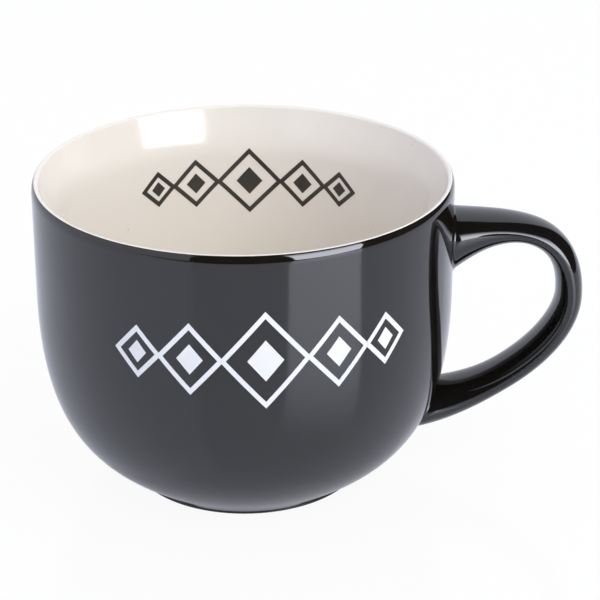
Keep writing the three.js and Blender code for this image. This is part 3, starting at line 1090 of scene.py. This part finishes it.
def add_area_light(name, target, bearing, height, distance, width, length, power):
    """A square-cornered light that faces the cup."""
    toward = direction_from_cup(bearing, height)
    bpy.ops.object.light_add(type="AREA", location=target + toward * distance)
    lamp = bpy.context.object
    lamp.name = name
    lamp.rotation_euler = toward.to_track_quat("Z", "Y").to_euler()
    lamp.data.shape = "RECTANGLE"
    lamp.data.size = width
    lamp.data.size_y = length
    lamp.data.energy = power
    lamp.visible_camera = False
    return lamp


def make_softbox(stage, target):
    """A tall window of light in the gloss, which fades towards its top."""
    softbox = add_area_light(
        "softbox", target, stage.camera_bearing + stage.softbox_bearing, stage.softbox_height,
        stage.softbox_distance, stage.softbox_width, stage.softbox_length, stage.softbox_power,
    )
    softbox.data.color = stage.softbox_tint[:3]
    softbox.visible_diffuse = False
    softbox.data.use_nodes = True
    tree = softbox.data.node_tree
    face = add_node(tree, "ShaderNodeNewGeometry")
    height = axis_of(tree, face.outputs["Parametric"], "Y")
    fade = spread(
        tree, height, 1.0, 0.0, stage.softbox_full, stage.softbox_dark, interpolation_type="SMOOTHSTEP",
    )
    set_inputs(tree, tree.nodes["Emission"], {"Strength": fade})


def make_key_light(stage, target):
    """Soft light from the same side, which shapes matt surfaces and doesn't show in the gloss."""
    key = add_area_light(
        "key_light", target, stage.camera_bearing + stage.key_bearing, stage.key_height,
        stage.key_distance, stage.key_size, stage.key_size, stage.key_power,
    )
    key.visible_glossy = False


def light_room(stage):
    """Soft light from all round, less of it overhead. The camera sees white, and gloss a dark room."""
    world = bpy.data.worlds.new("studio")
    world.use_nodes = True
    tree = world.node_tree
    path = add_node(tree, "ShaderNodeLightPath")
    way = add_node(tree, "ShaderNodeTexCoord")
    height = axis_of(tree, way.outputs["Generated"], "Z")
    fill = spread(tree, height, stage.fill, stage.fill * stage.overhead, *OVERHEAD_ENDS)
    lit = add_node(
        tree, "ShaderNodeMix", {"Factor": path.outputs["Is Glossy Ray"], "A": fill, "B": stage.room},
    )
    seen = add_node(
        tree, "ShaderNodeMix",
        {"Factor": path.outputs["Is Camera Ray"], "A": lit.outputs["Result"], "B": 1.0},
    )
    set_inputs(tree, tree.nodes["Background"], {"Color": WHITE, "Strength": seen.outputs["Result"]})
    bpy.context.scene.world = world


def turn_towards(first, second, turn):
    """Two axes of the camera, both turned in their own plane."""
    cosine, sine = math.cos(turn), math.sin(turn)
    return first * cosine + second * sine, second * cosine - first * sine


def make_camera(stage, target):
    """A camera that looks at the cup's axis and is then turned to the photograph's framing."""
    back = direction_from_cup(stage.camera_bearing, stage.camera_height)
    right = Vector((math.cos(stage.camera_bearing), math.sin(stage.camera_bearing), 0))
    up = back.cross(right)
    place = target + back * stage.camera_distance
    right, back = turn_towards(right, back, stage.camera_yaw)
    up, back = turn_towards(up, back, stage.camera_pitch)
    right, up = turn_towards(right, up, stage.camera_roll)
    bpy.ops.object.camera_add(location=place)
    camera = bpy.context.object
    camera.name = "camera"
    camera.rotation_euler = Matrix((right, up, back)).transposed().to_euler()
    camera.data.lens = stage.lens
    camera.data.sensor_width = SENSOR_WIDTH
    camera.data.clip_start = CLIP_START
    bpy.context.scene.camera = camera


class CUP_OT_set_stage(bpy.types.Operator):
    """Lay the floor, hang the backdrop, and set the lights and the camera"""
    bl_idname = "cup.set_stage"
    bl_label = "Set Stage"

    def execute(self, context):
        stage = context.scene.cup_stage
        target = AXIS + Vector((0, 0, stage.camera_aim))
        make_floor(stage)
        make_backdrop(stage)
        make_softbox(stage, target)
        make_key_light(stage, target)
        light_room(stage)
        make_camera(stage, target)
        context.scene.view_settings.view_transform = "Standard"
        return {"FINISHED"}


class CUP_PT_sidebar(bpy.types.Panel):
    """Buttons and sizes of the coffee cup"""
    bl_idname = "CUP_PT_sidebar"
    bl_label = "Coffee Cup"
    bl_space_type = "VIEW_3D"
    bl_region_type = "UI"
    bl_category = "Coffee Cup"

    def draw(self, context):
        for operator in OPERATORS:
            self.layout.operator(operator.bl_idname)
        for name, group in GROUPS.items():
            box = self.layout.box()
            box.label(text=group.bl_rna.description)
            for prop in group.__annotations__:
                box.prop(getattr(context.scene, name), prop)


GROUPS = {
    "cup_sizes": CupSizes,
    "cup_handle": HandleSizes,
    "cup_prints": PrintSizes,
    "cup_colours": FinishColours,
    "cup_stage": StageSettings,
}
OPERATORS = (
    CUP_OT_throw_body,
    CUP_OT_glaze_cup,
    CUP_OT_glaze_handle,
    CUP_OT_join_handle,
    CUP_OT_fire_prints,
    CUP_OT_set_stage,
)


def register():
    for name, group in GROUPS.items():
        bpy.utils.register_class(group)
        setattr(bpy.types.Scene, name, PointerProperty(type=group))
    for cls in (*OPERATORS, CUP_PT_sidebar):
        bpy.utils.register_class(cls)


def unregister():
    for cls in (CUP_PT_sidebar, *reversed(OPERATORS)):
        bpy.utils.unregister_class(cls)
    for name, group in reversed(GROUPS.items()):
        delattr(bpy.types.Scene, name)
        bpy.utils.unregister_class(group)


def main():
    register()
    deselect_all()
    bpy.ops.cup.throw_body()
    bpy.ops.cup.glaze_cup()
    bpy.ops.cup.glaze_handle()
    bpy.ops.cup.join_handle()
    bpy.ops.cup.fire_prints()
    bpy.ops.cup.set_stage()


if __name__ == "__main__":
    main()
